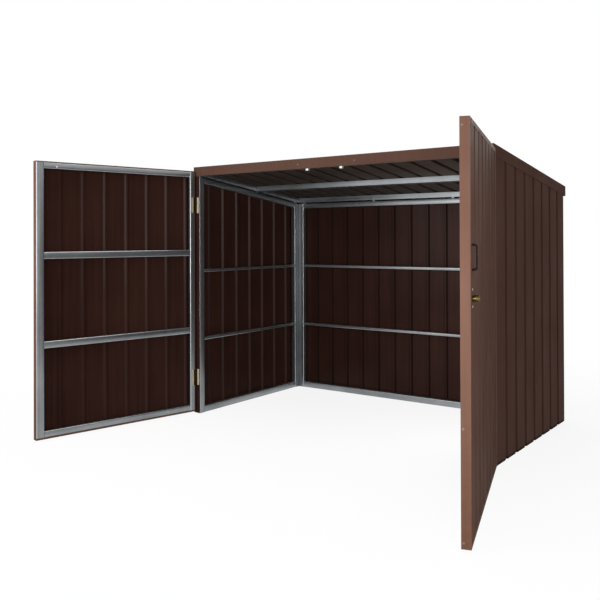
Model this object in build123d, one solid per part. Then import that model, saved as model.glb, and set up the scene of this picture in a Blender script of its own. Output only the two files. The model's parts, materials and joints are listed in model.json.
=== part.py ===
from build123d import *
import os
from math import ceil, cos, radians, tan

os.makedirs("parts", exist_ok=True)

# Overall sizes, in millimetres and degrees
roof_width = 2000.0
roof_depth = 1082.0
front_height = 1535.0
roof_pitch = 7.6
rear_overhang = 36.0
side_gap = 2.0

# Folded trims
trim_height = 57.0
trim_flange = 40.0
trim_thickness = 0.8
trim_gap = 1.0
corner_return = 30.0

# Sheets and their ribs
sheet_thickness = 0.5
sheet_foot = 3.0
sheet_overlap = 22.0
rib_pitch = 130.0
rib_foot = 26.0
rib_crest = 10.0
rib_depth = 12.0
roof_rib_foot = 36.0
roof_rib_crest = 20.0
roof_rib_depth = 20.0
left_first_rib = 125.0
right_first_rib = 148.0
back_rib_shift = -31.0

# Wall frames
frame_depth = 36.0
tube_wall = 1.0
post_width = 40.0
back_post_width = 45.0
bottom_rail_height = 40.0
top_rail_height = 31.0
mid_rail_height = 17.0
upper_rail_level = 887.0
lower_rail_level = 462.0

# Roof frame
roof_rail_height = 31.0
spacer_gap = 10.0
spacer_length = 24.0
spacer_inset = 300.0
purlin_share = 0.51

# Door keepers under the header
keeper_offset = 115.0
keeper_width = 18.0
keeper_depth = 16.0
keeper_drop = 14.0
keeper_setback = 4.0

# Doors, drawn shut and then swung open
door_clearance = 6.0
door_thickness = 36.0
door_middle_gap = 5.0
door_foot = 14.0
door_head_gap = 27.0
door_stile_width = 42.0
door_hinge_stile_width = 31.0
door_rail_height = 37.0
door_bottom_rail_height = 32.0
door_inner_lip = 10.0
door_head_lip = 6.0
door_outer_lip = 18.0
door_upper_rail_level = 1000.0
door_lower_rail_level = 519.0
door_first_rib = 45.0
left_door_open = 103.1
right_door_open = 107.4

# Butt hinges
hinge_inset = 24.0
hinge_edge_gap = 8.0
hinge_reach = 8.0
hinge_height = 97.0
lower_hinge_level = 226.0
upper_hinge_level = 1296.0
leaf_thickness = 2.5
post_leaf_width = 20.0
door_leaf_width = 30.0
knuckle_radius = 6.0
knuckle_count = 5
knuckle_gap = 0.4
knuckle_clearance = 0.5
pin_radius = 2.5
pin_clearance = 0.05

# Handle and lock on the right door
handle_level = 1019.0
handle_offset = 55.0
handle_length = 98.0
handle_reach = 21.0
handle_width = 10.0
handle_thickness = 7.0
handle_foot = 9.0
handle_splay = 4.0
handle_outer_round = 9.0
handle_inner_round = 3.0
lock_level = 874.0
lock_offset = 60.0
lock_radius = 11.5
lock_reach = 23.0
plug_radius = 7.5
plug_reach = 3.0

# Planes worked out from the sizes
half_roof = roof_width / 2
crest_x = half_roof - side_gap
frame_x = crest_x - rib_depth
inner_x = frame_x - frame_depth
frame_y = frame_depth / 2
inner_y = -frame_y
crest_y = frame_y + rib_depth
roof_back = crest_y + rear_overhang
roof_front = roof_back - roof_depth
face_y = roof_front + trim_thickness
rail_x = inner_x - back_post_width
slope = tan(radians(roof_pitch))
upright_share = 1 / cos(radians(roof_pitch))


def roof_top(y):
    return front_height - (y - roof_front) * slope


def rail_top(y):
    return roof_top(y) - trim_thickness - roof_rib_depth


def rail_foot(y):
    return rail_top(y) - roof_rail_height * upright_share


def wall_top(y):
    return rail_foot(y) - spacer_gap


def sheet_top(y):
    return wall_top(y) + sheet_overlap


def block(x_from, x_to, y_from, y_to, z_from, z_to):
    box = Box(x_to - x_from, y_to - y_from, z_to - z_from, align=(Align.MIN, Align.MIN, Align.MIN))
    return Pos(x_from, y_from, z_from) * box


def prism(points, x_from, x_to):
    outline = Polyline(*[(x_from, y, z) for y, z in points], close=True)
    return extrude(make_face(outline), amount=x_to - x_from, dir=(1, 0, 0))


def sloped(y_from, y_to, top, height, x_from, x_to):
    upper = [(y_from, top(y_from)), (y_to, top(y_to))]
    lower = [(y_to, top(y_to) - height), (y_from, top(y_from) - height)]
    return prism(upper + lower, x_from, x_to)


def upright_tube(x_from, x_to, y_from, y_to, z_from, z_to):
    hollow = block(
        x_from + tube_wall, x_to - tube_wall, y_from + tube_wall, y_to - tube_wall, z_from, z_to
    )
    return block(x_from, x_to, y_from, y_to, z_from, z_to) - hollow


def cross_tube(x_from, x_to, y_from, y_to, z_from, z_to):
    hollow = block(
        x_from, x_to, y_from + tube_wall, y_to - tube_wall, z_from + tube_wall, z_to - tube_wall
    )
    return block(x_from, x_to, y_from, y_to, z_from, z_to) - hollow


def side_tube(x_from, x_to, y_from, y_to, z_from, z_to):
    hollow = block(
        x_from + tube_wall, x_to - tube_wall, y_from, y_to, z_from + tube_wall, z_to - tube_wall
    )
    return block(x_from, x_to, y_from, y_to, z_from, z_to) - hollow


def sloped_side_tube(y_from, y_to, top, height, x_from, x_to):
    hollow_height = height - 2 * tube_wall
    hollow = sloped(
        y_from, y_to, lambda y: top(y) - tube_wall, hollow_height, x_from + tube_wall, x_to - tube_wall
    )
    return sloped(y_from, y_to, top, height, x_from, x_to) - hollow


def sloped_cross_tube(y_from, y_to, top, height, x_from, x_to):
    hollow_height = height - 2 * tube_wall
    hollow = sloped(
        y_from + tube_wall, y_to - tube_wall, lambda y: top(y) - tube_wall, hollow_height, x_from, x_to
    )
    return sloped(y_from, y_to, top, height, x_from, x_to) - hollow


def wall_post(y_from, y_to):
    base = [(y_from, 0), (y_to, 0), (y_to, wall_top(y_to)), (y_from, wall_top(y_from))]
    hollow = block(
        inner_x + tube_wall, frame_x - tube_wall, y_from + tube_wall, y_to - tube_wall, 0, front_height
    )
    return prism(base, inner_x, frame_x) - hollow


def rib_centres(first, length, foot):
    count = ceil((length - foot - first) / rib_pitch)
    return [first + rib_pitch * step for step in range(count) if first + rib_pitch * step > foot]


def ribbed_outline(length, centres, foot, crest, pan_out, rib_out):
    lower = [(0, pan_out)]
    for centre in centres:
        lower.append((centre - foot / 2, pan_out))
        lower.append((centre - crest / 2, rib_out))
        lower.append((centre + crest / 2, rib_out))
        lower.append((centre + foot / 2, pan_out))
    lower.append((length, pan_out))
    upper = [(along, out + sheet_thickness) for along, out in lower]
    return lower + upper[::-1]


# Wall and door sheets lie flat outside, with narrow ribs pressed in to the frame
def wall_outline(length, first, depth):
    centres = rib_centres(first, length, rib_foot)
    return ribbed_outline(length, centres, rib_foot, rib_crest, depth - sheet_thickness, 0)


def standing_sheet(points, height):
    outline = Polyline(*points, close=True)
    return extrude(make_face(outline), amount=height, dir=(0, 0, 1))


def mirrored(shape):
    return mirror(shape, about=Plane.YZ)


def side_sheet(first):
    length = crest_y - face_y
    outline = wall_outline(length, first, rib_depth)
    points = [(frame_x + out, face_y + along, sheet_foot) for along, out in outline]
    raw = standing_sheet(points, front_height - sheet_foot)
    side = [(face_y, 0), (crest_y, 0), (crest_y, sheet_top(crest_y)), (face_y, sheet_top(face_y))]
    return raw & prism(side, frame_x, half_roof)


def upright_cylinder(x, y, radius, z_from, z_to):
    rod = Cylinder(radius, z_to - z_from, align=(Align.CENTER, Align.CENTER, Align.MIN))
    return Pos(x, y, z_from) * rod


def save(name, shapes):
    shape = shapes[0] if len(shapes) == 1 else Compound(children=shapes)
    export_step(shape, "parts/" + name + ".step")


# Posts of the side and back walls
front_post_back = face_y + post_width
rear_post_front = inner_y - post_width
front_post = wall_post(face_y, front_post_back)
rear_post = wall_post(rear_post_front, frame_y)
save("front_right_post", [front_post])
save("front_left_post", [mirrored(front_post)])
save("rear_right_post", [rear_post])
save("rear_left_post", [mirrored(rear_post)])
back_top = wall_top(inner_y)
back_post = upright_tube(rail_x, inner_x, inner_y, frame_y, 0, back_top)
save("back_wall_posts", [back_post, mirrored(back_post)])

# Rails of the side and back walls
mid_levels = [lower_rail_level, upper_rail_level]
side_rails = [side_tube(inner_x, frame_x, front_post_back, rear_post_front, 0, bottom_rail_height)]
back_rails = [cross_tube(-rail_x, rail_x, inner_y, frame_y, 0, bottom_rail_height)]
for level in mid_levels:
    low = level - mid_rail_height / 2
    high = level + mid_rail_height / 2
    side_rails.append(side_tube(inner_x, frame_x, front_post_back, rear_post_front, low, high))
    back_rails.append(cross_tube(-rail_x, rail_x, inner_y, frame_y, low, high))
side_top_rail = sloped_side_tube(
    front_post_back, rear_post_front, wall_top, top_rail_height, inner_x, frame_x
)
side_rails.append(side_top_rail)
back_rails.append(cross_tube(-rail_x, rail_x, inner_y, frame_y, back_top - top_rail_height, back_top))
save("right_wall_rails", side_rails)
save("left_wall_rails", [mirrored(rail) for rail in side_rails])
save("back_wall_rails", back_rails)

# Ribbed sheets outside the wall frames
save("right_wall_sheet", [side_sheet(right_first_rib)])
save("left_wall_sheet", [mirrored(side_sheet(left_first_rib))])
back_half = crest_x - sheet_thickness
back_offset = back_half + back_rib_shift
back_first = back_offset - rib_pitch * int((back_offset - rib_foot) / rib_pitch)
back_outline = wall_outline(2 * back_half, back_first, rib_depth)
back_points = [(along - back_half, frame_y + out, sheet_foot) for along, out in back_outline]
save("back_wall_sheet", [standing_sheet(back_points, sheet_top(crest_y) - sheet_foot)])

# Brown trims on the front posts
corner_top = front_height - trim_height - trim_gap
corner_front = block(inner_x, half_roof, roof_front, face_y, sheet_foot, corner_top)
corner_top_side = roof_top(roof_front + corner_return) - trim_height - trim_gap
corner_side_points = [
    (roof_front, sheet_foot),
    (roof_front + corner_return, sheet_foot),
    (roof_front + corner_return, corner_top_side),
    (roof_front, corner_top),
]
corner_trim = corner_front + prism(corner_side_points, half_roof - trim_thickness, half_roof)
save("front_right_corner_trim", [corner_trim])
save("front_left_corner_trim", [mirrored(corner_trim)])

# Roof frame above the walls
header_back = face_y + frame_depth
rail_upright = roof_rail_height * upright_share
header = sloped_cross_tube(face_y, header_back, rail_top, rail_upright, -frame_x, frame_x)
save("roof_header", [header])
rear_rail = sloped_cross_tube(inner_y, frame_y, rail_top, rail_upright, -frame_x, frame_x)
save("roof_rear_rail", [rear_rail])
roof_side = sloped_side_tube(header_back, inner_y, rail_top, rail_upright, inner_x, frame_x)
save("roof_side_rails", [roof_side, mirrored(roof_side)])
purlin_y = roof_front + purlin_share * roof_depth
purlin_from = purlin_y - frame_depth / 2
purlin_to = purlin_y + frame_depth / 2
purlin = sloped_cross_tube(purlin_from, purlin_to, rail_top, rail_upright, -inner_x, inner_x)
save("roof_purlin", [purlin])

# Spacers that carry the roof frame on the walls
spacers = []
side_spacer_starts = [face_y + tube_wall, purlin_from, rear_post_front]
for start in side_spacer_starts:
    spacer = sloped(start, start + spacer_length, rail_foot, spacer_gap, inner_x, frame_x)
    spacers.append(spacer)
    spacers.append(mirrored(spacer))
for middle in [spacer_inset, rail_x - spacer_length / 2]:
    seat = [(inner_y, back_top), (frame_y, back_top)]
    seat = seat + [(frame_y, rail_foot(frame_y)), (inner_y, rail_foot(inner_y))]
    spacer = prism(seat, middle - spacer_length / 2, middle + spacer_length / 2)
    spacers.append(spacer)
    spacers.append(mirrored(spacer))
save("roof_spacers", spacers)

# Ribbed roof sheet with ribs running front to back
roof_sheet_half = half_roof - trim_thickness
roof_sheet_back = roof_back - trim_thickness
roof_sheet_width = 2 * roof_sheet_half
roof_half_count = int((roof_sheet_half - roof_rib_foot) / rib_pitch + 1 / 2)
roof_first = roof_sheet_half - rib_pitch * (roof_half_count - 1 / 2)
roof_centres = rib_centres(roof_first, roof_sheet_width, roof_rib_foot)
roof_rise = roof_rib_depth - sheet_thickness
roof_outline = ribbed_outline(roof_sheet_width, roof_centres, roof_rib_foot, roof_rib_crest, 0, roof_rise)
roof_points = [(along - roof_sheet_half, face_y, rail_top(face_y) + out) for along, out in roof_outline]
roof_face = make_face(Polyline(*roof_points, close=True))
roof_run = Vector(0, roof_sheet_back - face_y, rail_top(roof_sheet_back) - rail_top(face_y))
save("roof_sheet", [extrude(roof_face, amount=roof_run.length, dir=roof_run.normalized())])

# Folded trims round the roof
front_leg = block(-half_roof, half_roof, roof_front, face_y, front_height - trim_height, front_height)
front_flange = sloped(roof_front, roof_front + trim_flange, roof_top, trim_thickness, -half_roof, half_roof)
save("roof_front_trim", [front_leg + front_flange])
rear_top = roof_top(roof_back)
rear_leg = block(-half_roof, half_roof, roof_sheet_back, roof_back, rear_top - trim_height, rear_top)
rear_flange = sloped(roof_back - trim_flange, roof_back, roof_top, trim_thickness, -half_roof, half_roof)
save("roof_rear_trim", [rear_leg + rear_flange])
leg_height = trim_height - trim_thickness
leg_in = half_roof - trim_thickness
side_leg = sloped(
    face_y, roof_sheet_back, lambda y: roof_top(y) - trim_thickness, leg_height, leg_in, half_roof
)
flange_from = roof_front + trim_flange
flange_to = roof_back - trim_flange
side_flange = sloped(flange_from, flange_to, roof_top, trim_thickness, half_roof - trim_flange, half_roof)
roof_side_trim = side_leg + side_flange
save("roof_right_trim", [roof_side_trim])
save("roof_left_trim", [mirrored(roof_side_trim)])

# Keepers that the doors close against
keepers = []
for middle in [-keeper_offset, keeper_offset]:
    keeper_from = face_y + keeper_setback
    keeper_to = keeper_from + keeper_depth
    keeper_low = rail_foot(keeper_to) - keeper_drop
    seat = [(keeper_from, keeper_low), (keeper_to, keeper_low)]
    seat = seat + [(keeper_to, rail_foot(keeper_to)), (keeper_from, rail_foot(keeper_from))]
    keepers.append(prism(seat, middle - keeper_width / 2, middle + keeper_width / 2))
save("door_keepers", keepers)

# Hinges, with the pin fixed in the post leaf
axis_x = half_roof - hinge_inset
axis_y = roof_front - hinge_reach
door_inner_y = roof_front - door_clearance
knuckle_height = hinge_height / knuckle_count
hinge_levels = [lower_hinge_level, upper_hinge_level]


def hinge_zone(level, index):
    start = level - hinge_height / 2 + knuckle_height * index
    return start, start + knuckle_height


def post_leaf(level):
    low = level - hinge_height / 2
    high = level + hinge_height / 2
    leaf = block(axis_x - post_leaf_width, axis_x, roof_front - leaf_thickness, roof_front, low, high)
    for index in range(1, knuckle_count, 2):
        start, end = hinge_zone(level, index)
        leaf -= upright_cylinder(axis_x, axis_y, knuckle_radius + knuckle_clearance, start, end)
    for index in range(0, knuckle_count, 2):
        start, end = hinge_zone(level, index)
        low_end = start + knuckle_gap / 2
        high_end = end - knuckle_gap / 2
        leaf += upright_cylinder(axis_x, axis_y, knuckle_radius, low_end, high_end)
    return leaf + upright_cylinder(axis_x, axis_y, pin_radius, low, high)


def door_leaf(level):
    low = level - hinge_height / 2
    high = level + hinge_height / 2
    leaf = block(axis_x - door_leaf_width, axis_x, door_inner_y, door_inner_y + leaf_thickness, low, high)
    for index in range(0, knuckle_count, 2):
        start, end = hinge_zone(level, index)
        leaf -= upright_cylinder(axis_x, axis_y, knuckle_radius + knuckle_clearance, start, end)
    for index in range(1, knuckle_count, 2):
        start, end = hinge_zone(level, index)
        low_end = start + knuckle_gap / 2
        high_end = end - knuckle_gap / 2
        leaf += upright_cylinder(axis_x, axis_y, knuckle_radius, low_end, high_end)
    return leaf - upright_cylinder(axis_x, axis_y, pin_radius + pin_clearance, low, high)


post_leaves = [post_leaf(level) for level in hinge_levels]
save("right_post_hinges", post_leaves)
save("left_post_hinges", [mirrored(leaf) for leaf in post_leaves])

# One door drawn shut on the right, then copied to the left
edge_x = axis_x - hinge_edge_gap
free_x = door_middle_gap / 2
door_outer_y = door_inner_y - door_thickness
door_frame_y = door_outer_y + rib_depth
sheet_face_y = door_outer_y + trim_thickness
door_top = front_height - door_head_gap
web_in = edge_x - trim_thickness
web_out = free_x + trim_thickness
stile_foot = door_foot + door_inner_lip
stile_top = door_top - door_head_lip
web_foot = door_top - trim_thickness
stile_in = web_in - door_hinge_stile_width
stile_out = web_out + door_stile_width

door_stiles = [
    upright_tube(stile_in, web_in, door_frame_y, door_inner_y, stile_foot, stile_top),
    upright_tube(web_out, stile_out, door_frame_y, door_inner_y, stile_foot, stile_top),
]
rail_spans = [(stile_foot, stile_foot + door_bottom_rail_height)]
for level in [door_lower_rail_level, door_upper_rail_level]:
    rail_spans.append((level - door_rail_height / 2, level + door_rail_height / 2))
rail_spans.append((web_foot - door_rail_height, stile_top))
door_rails = []
for low, high in rail_spans:
    door_rails.append(cross_tube(stile_out, stile_in, door_frame_y, door_inner_y, low, high))

door_length = web_in - web_out
door_outline = wall_outline(door_length, door_first_rib, rib_depth - trim_thickness)
door_sheet_foot = door_foot + trim_thickness
door_points = [(web_in - along, door_frame_y - out, door_sheet_foot) for along, out in door_outline]
door_sheet = standing_sheet(door_points, web_foot - door_sheet_foot)


def side_trim(web_from, web_to, lip_from, lip_to):
    web = block(web_from, web_to, door_outer_y, door_inner_y, door_foot, door_top)
    lip = block(lip_from, lip_to, door_outer_y, sheet_face_y, door_foot, door_top)
    return web + lip


hinge_lip = edge_x - door_outer_lip
free_lip = free_x + door_outer_lip
door_side_trims = [
    side_trim(web_in, edge_x, hinge_lip, edge_x),
    side_trim(free_x, web_out, free_x, free_lip),
]
top_web = block(web_out, web_in, sheet_face_y, door_inner_y, web_foot, door_top)
top_lip = block(free_lip, hinge_lip, door_outer_y, sheet_face_y, door_top - door_outer_lip, door_top)
top_inner = block(web_out, web_in, door_inner_y - trim_thickness, door_inner_y, stile_top, door_top)
foot_web_top = door_foot + trim_thickness
foot_web = block(web_out, web_in, sheet_face_y, door_inner_y, door_foot, foot_web_top)
foot_lip_top = door_foot + door_outer_lip
foot_lip = block(free_lip, hinge_lip, door_outer_y, sheet_face_y, door_foot, foot_lip_top)
foot_inner = block(web_out, web_in, door_inner_y - trim_thickness, door_inner_y, door_foot, stile_foot)
door_end_trims = [top_web + top_lip + top_inner, foot_web + foot_lip + foot_inner]
door_leaves = [door_leaf(level) for level in hinge_levels]

# Bow handle and lock cylinder on the outer face
handle_x = free_x + handle_offset
half_handle = handle_length / 2
grip_y = sheet_face_y - handle_reach
bow_outer = [
    (sheet_face_y, handle_level - half_handle),
    (sheet_face_y, handle_level + half_handle),
    (grip_y, handle_level + half_handle - handle_splay),
    (grip_y, handle_level - half_handle + handle_splay),
]
bow_gap = half_handle - handle_foot
bow_inner = [
    (sheet_face_y, handle_level - bow_gap),
    (sheet_face_y, handle_level + bow_gap),
    (grip_y + handle_thickness, handle_level + bow_gap - handle_splay / 2),
    (grip_y + handle_thickness, handle_level - bow_gap + handle_splay / 2),
]
handle_from = handle_x - handle_width / 2
handle_to = handle_x + handle_width / 2
bow = prism(bow_outer, handle_from, handle_to)
bow = fillet(bow.edges().filter_by(Axis.X).group_by(Axis.Y)[0], handle_outer_round)
bow_hollow = prism(bow_inner, handle_from, handle_to)
bow_hollow = fillet(bow_hollow.edges().filter_by(Axis.X).group_by(Axis.Y)[0], handle_inner_round)
handle = bow - bow_hollow
lock_x = free_x + lock_offset
lock_barrel = Pos(lock_x, sheet_face_y, lock_level) * Rot(90, 0, 0) * Cylinder(
    lock_radius, lock_reach, align=(Align.CENTER, Align.CENTER, Align.MIN)
)
lock_plug = Pos(lock_x, sheet_face_y - lock_reach, lock_level) * Rot(90, 0, 0) * Cylinder(
    plug_radius, plug_reach, align=(Align.CENTER, Align.CENTER, Align.MIN)
)
lock = lock_barrel + lock_plug

# Doors swung open about their hinge pins
right_swing = Pos(axis_x, axis_y, 0) * Rot(0, 0, right_door_open) * Pos(-axis_x, -axis_y, 0)
left_swing = Pos(-axis_x, axis_y, 0) * Rot(0, 0, -left_door_open) * Pos(axis_x, -axis_y, 0)
door_sets = {
    "stiles": door_stiles,
    "rails": door_rails,
    "sheet": [door_sheet],
    "side_trims": door_side_trims,
    "end_trims": door_end_trims,
    "hinges": door_leaves,
}
for kind, shapes in door_sets.items():
    save("right_door_" + kind, [right_swing * shape for shape in shapes])
    save("left_door_" + kind, [left_swing * mirrored(shape) for shape in shapes])
save("right_door_handle", [right_swing * handle])
save("right_door_lock", [right_swing * lock])
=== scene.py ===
import json
import math

import bmesh
import bpy
from mathutils import Matrix, Vector


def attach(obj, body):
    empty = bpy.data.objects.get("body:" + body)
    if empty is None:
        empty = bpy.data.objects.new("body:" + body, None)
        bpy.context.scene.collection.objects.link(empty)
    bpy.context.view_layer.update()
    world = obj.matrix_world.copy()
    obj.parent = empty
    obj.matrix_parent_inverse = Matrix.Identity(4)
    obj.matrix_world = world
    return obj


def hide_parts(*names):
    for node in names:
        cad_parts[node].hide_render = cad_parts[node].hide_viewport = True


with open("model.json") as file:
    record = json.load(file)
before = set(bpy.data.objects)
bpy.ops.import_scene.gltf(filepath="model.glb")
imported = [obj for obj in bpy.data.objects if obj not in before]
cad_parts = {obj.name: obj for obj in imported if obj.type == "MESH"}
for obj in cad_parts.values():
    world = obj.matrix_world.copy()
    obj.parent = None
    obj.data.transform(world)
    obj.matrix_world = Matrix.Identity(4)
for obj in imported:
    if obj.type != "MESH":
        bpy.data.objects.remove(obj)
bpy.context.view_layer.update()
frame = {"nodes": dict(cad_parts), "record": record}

nodes = frame["nodes"]
slotOf = {part["node"]: part["material_slot"] for part in frame["record"]["subparts"]}
bodyOf = {name: body for body, names in frame["record"]["behaviour"]["bodies"].items() for name in names}
print("frame loaded with", len(nodes), "nodes")

leftSwing, rightSwing = -103.1, 107.4  # degrees that the doors stand open
hingeAxis = (0.976, -1.024)


class Wire:  # a shader socket that can be used in sums
    def __init__(self, tree, socket=None):
        self.tree = tree
        self.socket = socket

    def node(self, kind, settings, values, output=0):
        made = self.tree.nodes.new(kind)
        for name, setting in settings.items():
            setattr(made, name, setting)
        for name, value in values.items():
            if isinstance(value, Wire):
                self.tree.links.new(value.socket, made.inputs[name])
            else:
                made.inputs[name].default_value = value
        return Wire(self.tree, made.outputs[output])

    def beside(self, output):  # another output of the same node
        return Wire(self.tree, self.socket.node.outputs[output])

    def sum(self, operation, first, second):
        return self.node("ShaderNodeMath", {"operation": operation}, {0: first, 1: second})

    def __add__(self, other):
        return self.sum("ADD", self, other)

    def __radd__(self, other):
        return self.sum("ADD", other, self)

    def __sub__(self, other):
        return self.sum("SUBTRACT", self, other)

    def __rsub__(self, other):
        return self.sum("SUBTRACT", other, self)

    def __mul__(self, other):
        return self.sum("MULTIPLY", self, other)

    def __rmul__(self, other):
        return self.sum("MULTIPLY", other, self)

    def __pow__(self, other):
        return self.sum("POWER", self, other)

    def __rpow__(self, other):
        return self.sum("POWER", other, self)

    def larger(self, other):
        return self.sum("MAXIMUM", self, other)

    def absolute(self):
        return self.node("ShaderNodeMath", {"operation": "ABSOLUTE"}, {0: self})

    def clamped(self, low, high, outLow=0.0, outHigh=1.0):
        return self.node("ShaderNodeMapRange", {"clamp": True}, {
            "Value": self, "From Min": low, "From Max": high, "To Min": outLow, "To Max": outHigh})

    def noise(self, scale, detail, roughness):
        return self.node("ShaderNodeTexNoise", {}, {
            "Vector": self, "Scale": scale, "Detail": detail, "Roughness": roughness})

    def stretched(self, scale, turn=0.0):
        return self.node("ShaderNodeMapping", {"vector_type": "TEXTURE"}, {
            "Vector": self, "Rotation": (0.0, 0.0, math.radians(turn)),
            "Scale": [1.0 / share for share in scale]})

    def cells(self, scale):
        colour = self.node("ShaderNodeTexVoronoi", {}, {"Vector": self, "Scale": scale}, "Color")
        return colour.node("ShaderNodeSeparateColor", {}, {0: colour}, 0)

    def height(self):
        return self.node("ShaderNodeSeparateXYZ", {}, {0: self}, 2)

    def length(self):
        return self.node("ShaderNodeVectorMath", {"operation": "LENGTH"}, {0: self}, "Value")

    def along(self, direction):
        return self.node("ShaderNodeVectorMath", {"operation": "DOT_PRODUCT"},
                         {0: self, 1: direction}, "Value")

    def mixColour(self, first, second):
        return self.node("ShaderNodeMix", {"data_type": "RGBA"}, {0: self, 6: first, 7: second}, 2)

    def bump(self, strength, distance):
        return self.node("ShaderNodeBump", {}, {"Strength": strength, "Distance": distance, "Height": self})


def startMaterial(name, fixed):
    material = bpy.data.materials.new(name)
    material.use_nodes = True
    shader = material.node_tree.nodes["Principled BSDF"]
    for socket, value in fixed.items():
        shader.inputs[socket].default_value = value
    place = Wire(material.node_tree).node("ShaderNodeTexCoord", {}, {}, "Object")
    return material, shader, place


def plug(shader, socket, wire):
    wire.tree.links.new(wire.socket, shader.inputs[socket])


# the plane of the roof, and what hangs under it
roofLook = {"slope": math.tan(math.radians(7.6)), "height": 1.535, "front": -1.016, "cover": 0.0203,
            "sheetAndSpacer": 0.0308, "railDepth": 0.0313,
            "rails": (-0.9972, -0.4642, 0.0), "pans": range(-7, 8)}

# in the looks below a noise is its scale, detail and roughness, a run is how fine it is along
# each axis, and a band is the part of a value that counts, then what it becomes if not 0 to 1

# brown coil coating, with a darker backing coat on the side that looks into the shelter
paintLook = {
    "dark": (0.128, 0.066, 0.047, 1), "light": (0.172, 0.093, 0.069, 1), "lift": 1.0,
    "cloud": (2.4, 3.0, 0.5), "cloudShare": 0.55,
    "streakRun": (70.0, 70.0, 1.4), "streak": (1.0, 3.0, 0.6), "streakShare": 0.45, "toneBand": (0.3, 0.72),
    "dust": (0.20, 0.135, 0.105, 1), "dustHeight": 0.14, "dustFall": 2.0, "dustShare": 0.45,
    "grit": (38.0, 5.0, 0.62), "gritBand": (0.35, 0.75), "dustRough": 0.3,
    "backDark": (0.025, 0.0100, 0.0075, 1), "backLight": (0.049, 0.0203, 0.0154, 1),
    # hollow is the colour of the painted shade and painted shadow in makePaint
    "hollow": (0.006, 0.004, 0.003, 1), "innerBand": (0.15, 0.35),
    "bendBand": (0.62, 0.95, 1.0, 0.0), "bendShade": 0.0, "bendSheen": 0.22, "flatSheen": 0.03,
    "sheenRough": 0.24, "grooveBand": (-0.95, -0.62), "grooveShade": 0.25,
    "footBand": (0.010, 0.020, 1.0, 0.0), "footShade": 0.0, "panDepth": 0.008,
    "smearRun": (9.0, 9.0, 4.0), "smear": (1.0, 4.0, 0.55), "smearBand": (0.3, 0.7, 0.46, 0.60),
    "peel": (420.0, 2.0, 0.5), "peelBump": (0.08, 0.0006), "gloss": 0.012,
}


def lifted(colour, lift):
    return tuple(part * lift for part in colour[:3]) + (1,)


def makePaint(name, inward=None, **changes):
    look = dict(paintLook, **changes)
    material, shader, place = startMaterial(name, {
        "Metallic": 0.0, "Specular IOR Level": look["gloss"], "Coat Roughness": look["sheenRough"]})
    cloud = place.noise(*look["cloud"])
    streaks = place.stretched(look["streakRun"]).noise(*look["streak"])
    tone = (cloud * look["cloudShare"] + streaks * look["streakShare"]).clamped(*look["toneBand"])
    lowDown = place.height().clamped(0.0, look["dustHeight"], 1.0, 0.0) ** look["dustFall"]
    dusty = lowDown * place.noise(*look["grit"]).clamped(*look["gritBand"]) * look["dustShare"]
    dark, light, dust = [lifted(look[key], look["lift"]) for key in ("dark", "light", "dust")]
    colour = dusty.mixColour(tone.mixColour(dark, light), dust)
    if inward:
        inwardShare = place.beside("Normal").along(inward)
        paintedGrooveShade = inwardShare.clamped(*look["grooveBand"])  # painted shade on the sides of the ribs, seen from outside
        colour = (paintedGrooveShade * look["grooveShade"]).mixColour(colour, look["hollow"])
        paintedFootShadow = place.height().clamped(*look["footBand"])  # painted shadow: a dark line where a wall meets the ground
        colour = (paintedFootShadow * look["footShade"]).mixColour(colour, look["hollow"])
        inside = inwardShare.clamped(*look["innerBand"])
        bends = inwardShare.clamped(*look["bendBand"])
        if "panFoot" in look:  # painted shade: a roof sheet is darkened up in the hollow of each rib
            overPan = place.along((0, roofLook["slope"], 1))
            paintedShade = overPan.clamped(look["panFoot"], look["panFoot"] + look["panDepth"])
        else:
            # painted shade on the bends of the ribs inside
            paintedShade = bends * look["bendShade"]
        backing = tone.mixColour(look["backDark"], look["backLight"])
        colour = inside.mixColour(colour, paintedShade.mixColour(backing, look["hollow"]))
        sheen = bends.clamped(0.0, 1.0, look["flatSheen"], look["bendSheen"])  # pressed bends shine
        plug(shader, "Coat Weight", inside * sheen)
    plug(shader, "Base Color", colour)
    smears = place.stretched(look["smearRun"]).noise(*look["smear"]).clamped(*look["smearBand"])
    plug(shader, "Roughness", smears + dusty * look["dustRough"])
    plug(shader, "Normal", place.noise(*look["peel"]).bump(*look["peelBump"]))
    return material


# galvanised tube, drawn smooth, with streaks along its length and a painted highlight on its rolled corners
zincLook = {
    "dark": (0.155, 0.167, 0.176, 1), "light": (0.37, 0.39, 0.40, 1), "corner": (0.86, 0.87, 0.88, 1),
    "width": 60.0, "length": 0.8, "streak": (1.0, 2.0, 0.5), "streakShare": 0.5,
    "cloud": (4.0, 3.0, 0.5), "cloudShare": 0.47, "crystal": 70.0, "crystalShare": 0.03,
    "toneBand": (0.28, 0.72), "cornerHighlightBand": (0.80, 0.93, 1.0, 0.0), "metalBand": (0.3, 0.7, 0.78, 0.92),
    "roughBand": (0.2, 0.8, 0.26, 0.36), "crystalRough": 0.02, "bump": (0.01, 0.0004),
}


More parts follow.
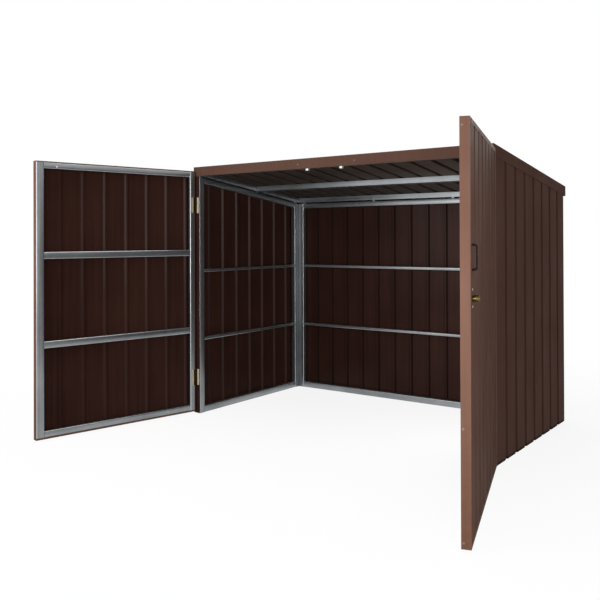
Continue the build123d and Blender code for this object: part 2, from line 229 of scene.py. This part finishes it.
def makeZinc(name, run, turn=0.0):  # run is the axis that the streaks follow
    look = zincLook
    material, shader, place = startMaterial(name, {})
    scale = [look["width"]] * 3
    scale[run] = look["length"]
    streaks = place.stretched(scale, turn).noise(*look["streak"])
    cloud = place.noise(*look["cloud"])
    crystals = place.cells(look["crystal"])
    tone = streaks * look["streakShare"] + cloud * look["cloudShare"] + crystals * look["crystalShare"]
    metal = tone.clamped(*look["toneBand"]).mixColour(look["dark"], look["light"])
    facing = place.beside("Normal")
    across, deep, up = [facing.along(axis).absolute() for axis in ((1, 0, 0), (0, 1, 0), (0, 0, 1))]
    # painted highlight: faces turned off the main axes, the rolled corners, are coloured near white
    corner = across.larger(deep).larger(up).clamped(*look["cornerHighlightBand"])
    plug(shader, "Base Color", corner.mixColour(metal, look["corner"]))
    plug(shader, "Metallic", cloud.clamped(*look["metalBand"]))
    plug(shader, "Roughness", streaks.clamped(*look["roughBand"]) + crystals * look["crystalRough"])
    plug(shader, "Normal", streaks.bump(*look["bump"]))
    return material


# hinges with a worn yellow passivated finish, the barrels painted dark as painted shade
brassLook = {
    "paintedBarrelShade": (0.022, 0.012, 0.004, 1), "barrelRadius": 0.0135, "barrelFade": 0.0015, "barrelShift": -0.006,
    "scratchRun": (40.0, 40.0, 900.0), "scratch": (1.0, 3.0, 0.5), "scratchShare": 0.35,
    "stain": (90.0, 4.0, 0.6), "stainShare": 0.65, "toneBand": (0.32, 0.66),
    "roughBand": (0.3, 0.7, 0.24, 0.44), "barrelRough": 0.2, "metalBand": (0.0, 1.0, 0.25, 0.9),
}
# one plating in two copies: the post leaves are painted bright as a painted highlight, the door leaves darker
# as painted shade
postLeafPaintedLight = {"dark": (0.86, 0.70, 0.42, 1), "light": (0.99, 0.90, 0.72, 1)}
doorLeafPaintedShade = {"dark": (0.40, 0.34, 0.21, 1), "light": (0.66, 0.58, 0.42, 1)}


def makeBrass(name, leaf):
    look = dict(brassLook, **leaf)
    material, shader, place = startMaterial(name, {})
    scratches = place.stretched(look["scratchRun"]).noise(*look["scratch"])
    stain = place.noise(*look["stain"])
    tone = (scratches * look["scratchShare"] + stain * look["stainShare"]).clamped(*look["toneBand"])
    plating = tone.mixColour(look["dark"], look["light"])
    across = place.along((1, 0, 0)).absolute() - hingeAxis[0]
    forward = place.along((0, 1, 0)) - (hingeAxis[1] + look["barrelShift"])
    offAxis = (across ** 2.0 + forward ** 2.0) ** 0.5
    # painted shade: the barrel, close around the hinge axis, is darkened
    paintedBarrelShade = offAxis.clamped(look["barrelRadius"] - look["barrelFade"], look["barrelRadius"], 1.0, 0.0)
    plug(shader, "Base Color", paintedBarrelShade.mixColour(plating, look["paintedBarrelShade"]))
    plug(shader, "Roughness", stain.clamped(*look["roughBand"]) + paintedBarrelShade * look["barrelRough"])
    plug(shader, "Metallic", paintedBarrelShade.clamped(*look["metalBand"]))
    return material


# moulded black handle
plasticLook = {
    "dark": (0.011, 0.007, 0.006, 1), "light": (0.022, 0.015, 0.013, 1), "gloss": 0.045,
    "cloud": (60.0, 3.0, 0.5), "toneBand": (0.3, 0.7), "roughBand": (0.3, 0.7, 0.20, 0.32),
    "grain": (1400.0, 2.0, 0.5), "grainBump": (0.12, 0.0003),
}


def makePlastic():
    look = plasticLook
    material, shader, place = startMaterial("blackMoulding", {"Specular IOR Level": look["gloss"]})
    cloud = place.noise(*look["cloud"])
    plug(shader, "Base Color", cloud.clamped(*look["toneBand"]).mixColour(look["dark"], look["light"]))
    plug(shader, "Roughness", cloud.clamped(*look["roughBand"]))
    plug(shader, "Normal", place.noise(*look["grain"]).bump(*look["grainBump"]))
    return material


# turned brass of the lock cylinder, and bright plating of the keepers and catch studs
lockLook = {
    "dark": (0.055, 0.038, 0.008, 1), "light": (0.26, 0.20, 0.065, 1), "metallic": 1.0,
    "cloud": (120.0, 4.0, 0.5), "toneBand": (0.3, 0.7), "roughBand": (0.3, 0.7, 0.12, 0.26),
}
boltLook = {
    "dark": (0.55, 0.56, 0.56, 1), "light": (0.85, 0.86, 0.86, 1), "metallic": 0.5,
    "cloud": (300.0, 4.0, 0.5), "toneBand": (0.3, 0.7), "roughBand": (0.3, 0.7, 0.22, 0.40),
}


def makeMetal(name, look):
    material, shader, place = startMaterial(name, {"Metallic": look["metallic"]})
    cloud = place.noise(*look["cloud"])
    plug(shader, "Base Color", cloud.clamped(*look["toneBand"]).mixColour(look["dark"], look["light"]))
    plug(shader, "Roughness", cloud.clamped(*look["roughBand"]))
    return material


def swung(side):  # puts a place on a shut door where the open door has it
    angle = math.radians(rightSwing if side > 0 else leftSwing)
    axis = Vector((hingeAxis[0] * side, hingeAxis[1], 0.0))
    return Matrix.Translation(axis) @ Matrix.Rotation(angle, 4, "Z") @ Matrix.Translation(-axis)


def turned(vector, side):
    return tuple(swung(side).to_3x3() @ Vector(vector))


# coats of the painted pieces
edgeCoatPaintedLight = {"lift": 1.45, "dust": (0.130, 0.056, 0.026, 1), "dustHeight": 0.9,
            "dustShare": 1.0}  # door edges are painted lighter, a painted highlight, and darker and warmer towards the bottom
studCoat = {"dark": (0.25, 0.170, 0.150, 1), "light": (0.34, 0.250, 0.225, 1)}
cornerCoatPaintedShade = {"backDark": (0.031, 0.0125, 0.0094, 1),
              "backLight": (0.061, 0.0254, 0.0193, 1)}  # the front of the corner folds is painted in the dark backing coat, as painted shade
# the walls are a darker copy of the brown coating as painted shade, with painted shade on the rib sides and a
# painted shadow along the foot
wallCoatPaintedShade = {"dark": (0.098, 0.0450, 0.0322, 1), "light": (0.132, 0.0634, 0.0472, 1),
            "grooveShade": 0.32, "footShade": 0.85}
# the back wall's inner rib bends are painted dark, painted shade
backCoat = dict(wallCoatPaintedShade, bendShade=0.65, bendSheen=0.02, flatSheen=0.10)
# panFoot is where the painted shade in the roof's rib hollows begins
roofCoat = {"backDark": (0.034, 0.025, 0.020, 1), "backLight": (0.064, 0.049, 0.041, 1), "panFoot": 1.3795}
# the roof's side and rear trims take the walls' darker tones, painted shade
roofEdgeCoatPaintedShade = {"dark": wallCoatPaintedShade["dark"], "light": wallCoatPaintedShade["light"]}
# the doors' rib sides get a weaker painted shade
doorCoat = {"grooveShade": 0.15, "gloss": 0.003}

plainPaint = makePaint("brownCoating")
edgePaintedLight = makePaint("brownDoorEdgePaintedLight", **edgeCoatPaintedLight)
studPaint = makePaint("paleStud", **studCoat)
cornerPaintedShade = makePaint("brownCornerFoldPaintedShade", (0, -1, 0), **cornerCoatPaintedShade)
roofEdgePaintedShade = makePaint("brownRoofEdgePaintedShade", **roofEdgeCoatPaintedShade)
sheetPaint = {
    "left_wall_sheet": makePaint("leftWallCoating", (1, 0, 0), **wallCoatPaintedShade),
    "right_wall_sheet": makePaint("rightWallCoating", (-1, 0, 0), **wallCoatPaintedShade),
    "back_wall_sheet": makePaint("backWallCoating", (0, -1, 0), **backCoat),
    "roof_sheet": makePaint("roofCoating", (0, 0, -1), **roofCoat),
    "left_door_sheet": makePaint("leftDoorCoating", turned((0, 1, 0), -1), **doorCoat),
    "right_door_sheet": makePaint("rightDoorCoating", turned((0, 1, 0), 1), **doorCoat),
}
zincUp = makeZinc("zincUprights", 2)
zincAcross = makeZinc("zincCrossRails", 0)
zincDeep = makeZinc("zincSideRails", 1)
zincLeftDoor = makeZinc("zincLeftDoorRails", 0, leftSwing)
zincRightDoor = makeZinc("zincRightDoorRails", 0, rightSwing)
zincFor = {
    "left_wall_rails": zincDeep, "right_wall_rails": zincDeep, "roof_side_rails": zincDeep,
    "back_wall_rails": zincAcross, "roof_header": zincAcross, "roof_rear_rail": zincAcross,
    "roof_purlin": zincAcross, "left_door_rails": zincLeftDoor, "right_door_rails": zincRightDoor,
}
boltPlate = makeMetal("boltPlating", boltLook)
lockBrass = makeMetal("lockBrass", lockLook)
postBrassPaintedLight = makeBrass("postHingeBrassPaintedLight", postLeafPaintedLight)
doorBrassPaintedShade = makeBrass("doorHingeBrassPaintedShade", doorLeafPaintedShade)
blackPlastic = makePlastic()
finishes = {"brown_paint": plainPaint, "black_plastic": blackPlastic, "lock_brass": lockBrass}


def finishFor(name):
    if name in sheetPaint:
        return sheetPaint[name]
    if name.endswith("_side_trims"):
        return edgePaintedLight
    if name.endswith("_corner_trim"):
        return cornerPaintedShade
    if name in ("roof_left_trim", "roof_right_trim", "roof_rear_trim"):
        return roofEdgePaintedShade
    if slotOf[name] == "hinge_brass":
        return postBrassPaintedLight if name.endswith("_post_hinges") else doorBrassPaintedShade
    if slotOf[name] == "galvanised":
        return zincFor.get(name, zincUp)
    return finishes[slotOf[name]]


for name, piece in nodes.items():
    piece.data.materials.clear()
    piece.data.materials.append(finishFor(name))
print("materials set on", len(nodes), "nodes")

# how made meshes are merged, flattened and shaded, with the angles in degrees
meshLook = {"merge": 0.00001, "flat": 1.0, "smooth": 35.0}


def pick(piece):
    bpy.ops.object.select_all(action="DESELECT")
    piece.select_set(True)
    bpy.context.view_layer.objects.active = piece


def settle(piece, name, body, material):  # name, finish and body of a made piece
    pick(piece)
    bpy.ops.object.transform_apply(location=True, rotation=True, scale=True)
    bpy.ops.object.shade_smooth_by_angle(angle=math.radians(meshLook["smooth"]))
    piece.name = name
    piece.data.materials.clear()
    piece.data.materials.append(material)
    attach(piece, body)


def copyNode(name):  # a merged copy of a CAD node, ready to be shaped
    piece = bpy.data.objects.new(name + "Shaped", nodes[name].data.copy())
    bpy.context.scene.collection.objects.link(piece)
    pick(piece)
    bpy.ops.mesh.customdata_custom_splitnormals_clear()
    bpy.ops.object.mode_set(mode="EDIT")
    bpy.ops.mesh.select_all(action="SELECT")
    bpy.ops.mesh.remove_doubles(threshold=meshLook["merge"])
    bpy.ops.mesh.dissolve_limited(angle_limit=math.radians(meshLook["flat"]))
    bpy.ops.mesh.select_all(action="DESELECT")
    return piece  # still in edit mode


def roundEdges(piece, look):  # the outer edges that are long and sharp enough
    mesh = bmesh.from_edit_mesh(piece.data)
    for edge in mesh.edges:
        outer = len(edge.link_faces) == 2 and edge.is_convex
        longEnough = edge.calc_length() > look["longEdge"]
        edge.select_set(outer and longEnough and edge.calc_face_angle() > look["corner"])
    bmesh.update_edit_mesh(piece.data)
    bpy.ops.mesh.bevel(offset=look["radius"], segments=look["segments"], affect="EDGES", clamp_overlap=True)
    bpy.ops.object.mode_set(mode="OBJECT")


# drawn tubes have rounded corners along their length
tubeLook = {"radius": 0.0036, "segments": 3, "longEdge": 0.2, "corner": math.radians(60.0)}
blockNodes = ("roof_spacers", "door_keepers")
tubeNodes = [name for name in nodes if slotOf[name] == "galvanised" and name not in blockNodes]
for name in tubeNodes:
    tube = copyNode(name)
    roundEdges(tube, tubeLook)
    settle(tube, name + "Tubes", bodyOf[name], finishFor(name))
    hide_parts(name)
print("rounded", len(tubeNodes), "sets of tubes")

# small blocks with broken edges
blockLook = {"radius": 0.0012, "segments": 2, "longEdge": 0.0, "corner": 0.5}
for name in blockNodes:
    block = copyNode(name)
    roundEdges(block, blockLook)
    blockFinish = boltPlate if name == "door_keepers" else zincUp
    settle(block, name + "Blocks", bodyOf[name], blockFinish)
    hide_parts(name)
print("spacers and keepers shaped")

# bow handle, rounded all round
handleLook = {"radius": 0.0026, "segments": 3, "longEdge": 0.0, "corner": 0.9}
handle = copyNode("right_door_handle")
roundEdges(handle, handleLook)
settle(handle, "bowHandle", "right_door", blackPlastic)
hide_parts("right_door_handle")
print("handle shaped")

# a screw is a flanged head, modelled once with its foot at zero and pointing up
headLook = {"topFace": 0.9, "bevelShare": 0.35}


def modelScrew(flange, flangeHeight, head, headHeight, sides):
    bpy.ops.object.select_all(action="DESELECT")
    bpy.ops.mesh.primitive_cylinder_add(vertices=sides, radius=flange, depth=flangeHeight,
                                        location=(0, 0, flangeHeight / 2))
    screw = bpy.context.object
    bpy.ops.object.transform_apply(location=True, rotation=True, scale=True)
    bpy.ops.object.mode_set(mode="EDIT")
    mesh = bmesh.from_edit_mesh(screw.data)
    for face in mesh.faces:
        face.select_set(face.normal.z > headLook["topFace"])
    bmesh.update_edit_mesh(screw.data)
    bpy.ops.mesh.inset(thickness=flange - head)
    bpy.ops.mesh.extrude_region_move(TRANSFORM_OT_translate={"value": (0, 0, headHeight)})
    bpy.ops.mesh.bevel(offset=headHeight * headLook["bevelShare"], segments=1, affect="EDGES")
    bpy.ops.object.mode_set(mode="OBJECT")
    return screw


def setScrews(name, screw, places, body, material):  # a place is a point and the way out there
    bpy.ops.object.select_all(action="DESELECT")
    for point, outward in places:
        copy = bpy.data.objects.new(name, screw.data.copy())
        bpy.context.scene.collection.objects.link(copy)
        turn = Vector(outward).to_track_quat("Z", "Y").to_matrix().to_4x4()
        copy.matrix_world = Matrix.Translation(point) @ turn
        copy.select_set(True)
        bpy.context.view_layer.objects.active = copy
    bpy.ops.object.join()
    settle(bpy.context.object, name, body, material)


def doorPlace(side, point, outward):  # a place on a shut door, moved to the open one
    return tuple(swung(side) @ Vector(point)), turned(outward, side)


# sheet screws sit in the pressed ribs, over the rails
screwLook = {"flange": 0.0046, "flangeHeight": 0.0008, "head": 0.0032, "headHeight": 0.0022, "sides": 8}
wallLook = {"face": 0.9865, "front": -1.0152, "pitch": 0.130, "levels": (0.020, 0.462, 0.887),
            "leftFirst": 0.125, "rightFirst": 0.148, "ribs": 7, "topRail": 0.0155}
backLook = {"face": 0.0185, "middleRib": -0.031, "ribs": range(-7, 8), "railFront": -0.018}
doorLook = {"face": -1.0465, "edge": 0.9672, "firstRib": 0.045, "ribs": range(1, 7),
            "levels": (0.040, 0.519, 1.0, 1.486)}


def roofTop(y):
    return roofLook["height"] - (y - roofLook["front"]) * roofLook["slope"]


def screwLevels(y):  # the rails of a wall, the top one under the roof's slope
    wallTop = roofTop(y) - roofLook["sheetAndSpacer"] - roofLook["railDepth"]
    return wallLook["levels"] + (wallTop - wallLook["topRail"],)


def sidePlaces(side, first):
    places = []
    for rib in range(wallLook["ribs"]):
        y = wallLook["front"] + first + wallLook["pitch"] * rib
        for level in screwLevels(y):
            places.append(((wallLook["face"] * side, y, level), (side, 0, 0)))
    return places


def backPlaces():
    places = []
    for rib in backLook["ribs"]:
        x = backLook["middleRib"] + wallLook["pitch"] * rib
        for level in screwLevels(backLook["railFront"]):
            places.append(((x, backLook["face"], level), (0, 1, 0)))
    return places


def doorPlaces(side):
    places = []
    for rib in doorLook["ribs"]:
        x = (doorLook["edge"] - doorLook["firstRib"] - wallLook["pitch"] * rib) * side
        for level in doorLook["levels"]:
            places.append(doorPlace(side, (x, doorLook["face"], level), (0, -1, 0)))
    return places


def roofPlaces():
    places = []
    for pan in roofLook["pans"]:
        for y in roofLook["rails"]:
            z = roofTop(y) - roofLook["cover"]
            places.append(((wallLook["pitch"] * pan, y, z), (0, roofLook["slope"], 1)))
    return places


sheetScrew = modelScrew(**screwLook)
sheetSets = {
    "leftWallScrews": (sidePlaces(-1, wallLook["leftFirst"]), "shelter"),
    "rightWallScrews": (sidePlaces(1, wallLook["rightFirst"]), "shelter"),
    "backWallScrews": (backPlaces(), "shelter"),
    "roofScrews": (roofPlaces(), "shelter"),
    "leftDoorScrews": (doorPlaces(-1), "left_door"),
    "rightDoorScrews": (doorPlaces(1), "right_door"),
}
for name, (places, body) in sheetSets.items():
    setScrews(name, sheetScrew, places, body, plainPaint)
print("sheet screws set")

# pale studs on the front trim and the right door's edge, a plated one on each door's top rail
studLook = {"flange": 0.0050, "flangeHeight": 0.0006, "head": 0.0036, "headHeight": 0.0014, "sides": 12}
trimLook = {"across": (-0.174, 0.208), "level": 1.503}
edgeLook = {"edge": 0.0025, "depth": -1.031, "levels": (0.036, 0.428, 1.478)}
catchLook = {"across": 0.115, "face": -1.022, "level": 1.481}
doorSides = {-1: "left", 1: "right"}
trimStuds = [((x, roofLook["front"], trimLook["level"]), (0, -1, 0)) for x in trimLook["across"]]
edgeStuds = [doorPlace(1, (edgeLook["edge"], edgeLook["depth"], z), (-1, 0, 0)) for z in edgeLook["levels"]]
stud = modelScrew(**studLook)
setScrews("frontTrimStuds", stud, trimStuds, "shelter", studPaint)
setScrews("rightDoorEdgeStuds", stud, edgeStuds, "right_door", studPaint)
for side, word in doorSides.items():
    catch = (catchLook["across"] * side, catchLook["face"], catchLook["level"])
    body = word + "_door"
    setScrews(body + "CatchStud", stud, [doorPlace(side, catch, (0, 1, 0))], body, boltPlate)
print("studs set")

# countersunk screws on the hinge leaves
leafScrewLook = {"flange": 0.0030, "flangeHeight": 0.00018, "head": 0.0021, "headHeight": 0.00008, "sides": 12}
hingeLook = {"levels": (0.226, 1.296), "rows": (-0.034, 0.0, 0.034), "postLeaf": 0.013,
             "doorLeaf": (0.014, 0.024), "postFace": -1.0185, "doorFace": -1.0195}
leafScrew = modelScrew(**leafScrewLook)
for side, word in doorSides.items():
    onPost, onDoor = [], []
    for level in hingeLook["levels"]:
        for index, row in enumerate(hingeLook["rows"]):
            postX = (hingeAxis[0] - hingeLook["postLeaf"]) * side
            onPost.append(((postX, hingeLook["postFace"], level + row), (0, -1, 0)))
            doorX = (hingeAxis[0] - hingeLook["doorLeaf"][index % 2]) * side
            onDoor.append(doorPlace(side, (doorX, hingeLook["doorFace"], level + row), (0, 1, 0)))
    setScrews(word + "PostHingeScrews", leafScrew, onPost, "shelter", postBrassPaintedLight)
    setScrews(word + "DoorHingeScrews", leafScrew, onDoor, word + "_door", doorBrassPaintedShade)
print("hinge screws set")

# lock screws and the keyway in the plug
lockSet = {"x": 0.0625, "face": -1.0572, "level": 0.874, "screws": (0.031, -0.029), "plugFace": -1.0832,
           "slot": (0.0014, 0.0008, 0.0075), "slotRadius": 0.0003}
lockScrews = [doorPlace(1, (lockSet["x"], lockSet["face"], lockSet["level"] + step), (0, -1, 0))
              for step in lockSet["screws"]]
setScrews("lockScrews", stud, lockScrews, "right_door", zincUp)
bpy.ops.object.select_all(action="DESELECT")
bpy.ops.mesh.primitive_cube_add(size=1.0, location=(lockSet["x"], lockSet["plugFace"], lockSet["level"]))
keyway = bpy.context.object
keyway.scale = lockSet["slot"]
bpy.ops.object.transform_apply(location=True, rotation=True, scale=True)
keyway.data.transform(swung(1))
bpy.ops.object.mode_set(mode="EDIT")
bpy.ops.mesh.select_all(action="SELECT")
bpy.ops.mesh.bevel(offset=lockSet["slotRadius"], segments=2, affect="EDGES")
bpy.ops.object.mode_set(mode="OBJECT")
settle(keyway, "lockKeyway", "right_door", blackPlastic)
print("lock finished")

for template in (sheetScrew, stud, leafScrew):
    bpy.data.objects.remove(template)

# floor, light and camera
stageLook = {"floorSize": 60.0, "floorTone": 0.5, "floorRough": 0.9, "shadowShare": 0.14,
             "shadowFade": (0.8, 3.2), "world": 0.28, "backdrop": 1.0}
lamps = [
    {"name": "keyLamp", "place": (-0.6, -3.6, 1.5), "aim": (-0.3, -1.0, 0.8),
     "size": (3.0, 1.6), "power": 36.0, "mirrored": True},
    {"name": "edgeLamp", "place": (2.0, -3.1, 0.95), "aim": (1.26, -1.95, 0.85),
     "size": (0.8, 0.8), "power": 16.0, "mirrored": True},
    {"name": "fillLamp", "place": (0.88, -0.6, 0.75), "aim": (-0.98, -0.75, 0.75),
     "size": (0.6, 1.0), "power": 7.0, "mirrored": False},  # too near to be mirrored in the tubes
    {"name": "backLamp", "place": (-0.4, 3.6, 1.8), "aim": (0.0, 0.0, 0.7),
     "size": (2.6, 1.6), "power": 46.0, "mirrored": True},
    {"name": "leftLamp", "place": (-4.2, 0.6, 1.6), "aim": (-1.0, -0.6, 0.7),
     "size": (1.6, 1.6), "power": 40.0, "mirrored": True},
    {"name": "topLamp", "place": (0.0, -0.6, 5.0), "aim": (0.0, -0.6, 0.0),
     "size": (4.0, 4.0), "power": 90.0, "mirrored": True},
]
cameraLook = {"place": (2.350568, -4.248317, 1.087409), "yaw": 34.101, "pitch": 0.282, "roll": -0.208,
              "focalPixels": 726.661, "centre": (347.394, 234.585), "image": 600.0}


def seenRays(tree):  # what is seen straight, in a mirror or through glass
    camera = Wire(tree).node("ShaderNodeLightPath", {}, {}, "Is Camera Ray")
    return camera.larger(camera.beside("Is Glossy Ray")).larger(camera.beside("Is Transmission Ray"))


def makeFloor():
    bpy.ops.object.select_all(action="DESELECT")
    bpy.ops.mesh.primitive_plane_add(size=stageLook["floorSize"], location=(0, 0, 0))
    floor = bpy.context.object
    floor.name = "studioFloor"
    material, shader, place = startMaterial("paleFloor", {
        "Roughness": stageLook["floorRough"], "Specular IOR Level": 0.0})
    tree = material.node_tree
    rays = seenRays(tree)
    plug(shader, "Base Color", rays.clamped(0.0, 1.0, stageLook["floorTone"], 1.0))
    glow = place.node("ShaderNodeEmission", {}, {"Color": (1, 1, 1, 1), "Strength": stageLook["backdrop"]})
    shadow = place.length().clamped(*stageLook["shadowFade"], stageLook["shadowShare"], 0.0)
    seen = rays * (1 - shadow)
    lit = Wire(tree, shader.outputs[0])
    mixed = seen.node("ShaderNodeMixShader", {}, {0: seen, 1: lit, 2: glow})
    plug(tree.nodes["Material Output"], "Surface", mixed)
    floor.data.materials.append(material)


def makeWorld():
    world = bpy.data.worlds.new("studioAir")
    bpy.context.scene.world = world
    world.use_nodes = True
    shader = world.node_tree.nodes["Background"]
    shader.inputs["Color"].default_value = (1, 1, 1, 1)
    rays = seenRays(world.node_tree)
    plug(shader, "Strength", rays.clamped(0.0, 1.0, stageLook["world"], stageLook["backdrop"]))


def makeLamp(look):
    bpy.ops.object.light_add(type="AREA", location=look["place"])
    lamp = bpy.context.object
    lamp.name = look["name"]
    lamp.data.shape = "RECTANGLE"
    lamp.data.size, lamp.data.size_y = look["size"]
    lamp.data.energy = look["power"]
    lamp.visible_camera = False
    lamp.visible_glossy = look["mirrored"]
    away = Vector(look["place"]) - Vector(look["aim"])
    lamp.rotation_euler = away.to_track_quat("Z", "Y").to_euler()


def makeCamera():
    bpy.ops.object.camera_add()
    camera = bpy.context.object
    turn = Matrix.Rotation(math.radians(cameraLook["yaw"]), 4, "Z")
    tilt = Matrix.Rotation(math.radians(90 + cameraLook["pitch"]), 4, "X")
    roll = Matrix.Rotation(math.radians(cameraLook["roll"]), 4, "Z")
    camera.matrix_world = Matrix.Translation(cameraLook["place"]) @ turn @ tilt @ roll
    camera.data.lens = cameraLook["focalPixels"] / cameraLook["image"] * camera.data.sensor_width
    camera.data.shift_x = 0.5 - cameraLook["centre"][0] / cameraLook["image"]
    camera.data.shift_y = cameraLook["centre"][1] / cameraLook["image"] - 0.5
    bpy.context.scene.camera = camera


makeFloor()
makeWorld()
for look in lamps:
    makeLamp(look)
makeCamera()
bpy.context.scene.view_settings.view_transform = "Standard"
print("stage set")
